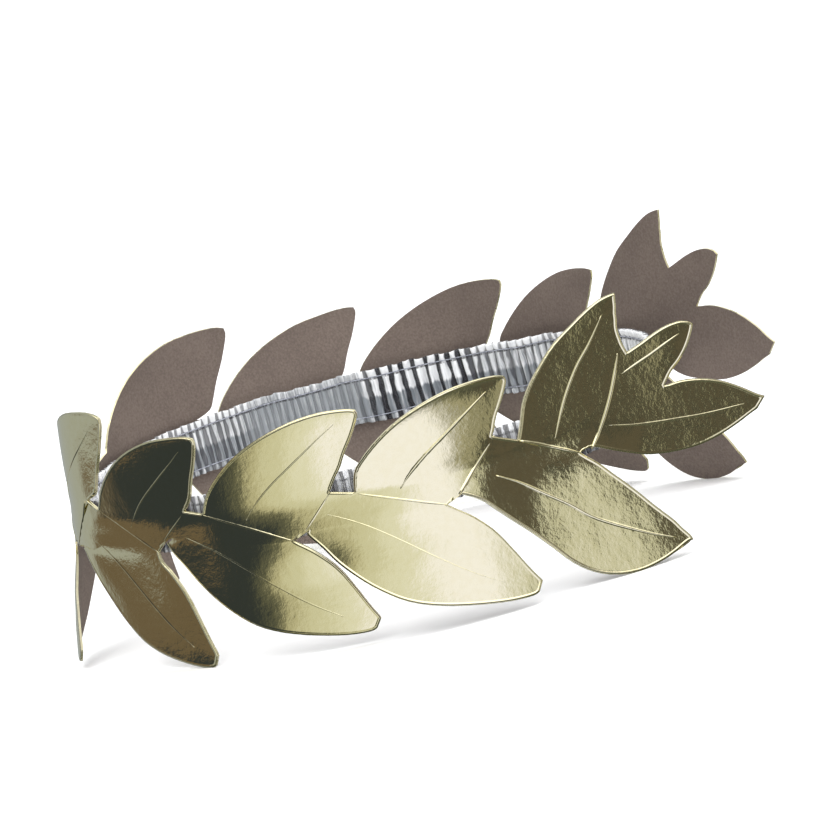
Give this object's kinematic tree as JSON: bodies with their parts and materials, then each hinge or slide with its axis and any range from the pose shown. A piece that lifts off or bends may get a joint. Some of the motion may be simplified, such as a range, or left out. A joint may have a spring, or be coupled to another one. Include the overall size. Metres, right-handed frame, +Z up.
{
  "type": "laurel wreath crown",
  "caption": "Laurel wreath crown: two mirrored sprigs of gold foil card leaves on a closed loop of clear gathered elastic film.",
  "frame": {"origin": "centre of the bounding box's base, on the surface that the lower leaf tips stand on", "axes": "+Z up, -Y towards the open front of the wreath, +X towards the wearer's left"},
  "size_m": [0.1742, 0.1926, 0.0741],
  "materials": {
    "gold_card": "mirror gold foil outside, plain grey-brown back",
    "clear_film": "clear, finely gathered"
  },
  "bodies": {
    "root": {"right_sprig": "gold_card", "left_sprig": "gold_card", "gathered_band": "clear_film"}
  },
  "joints": []
}
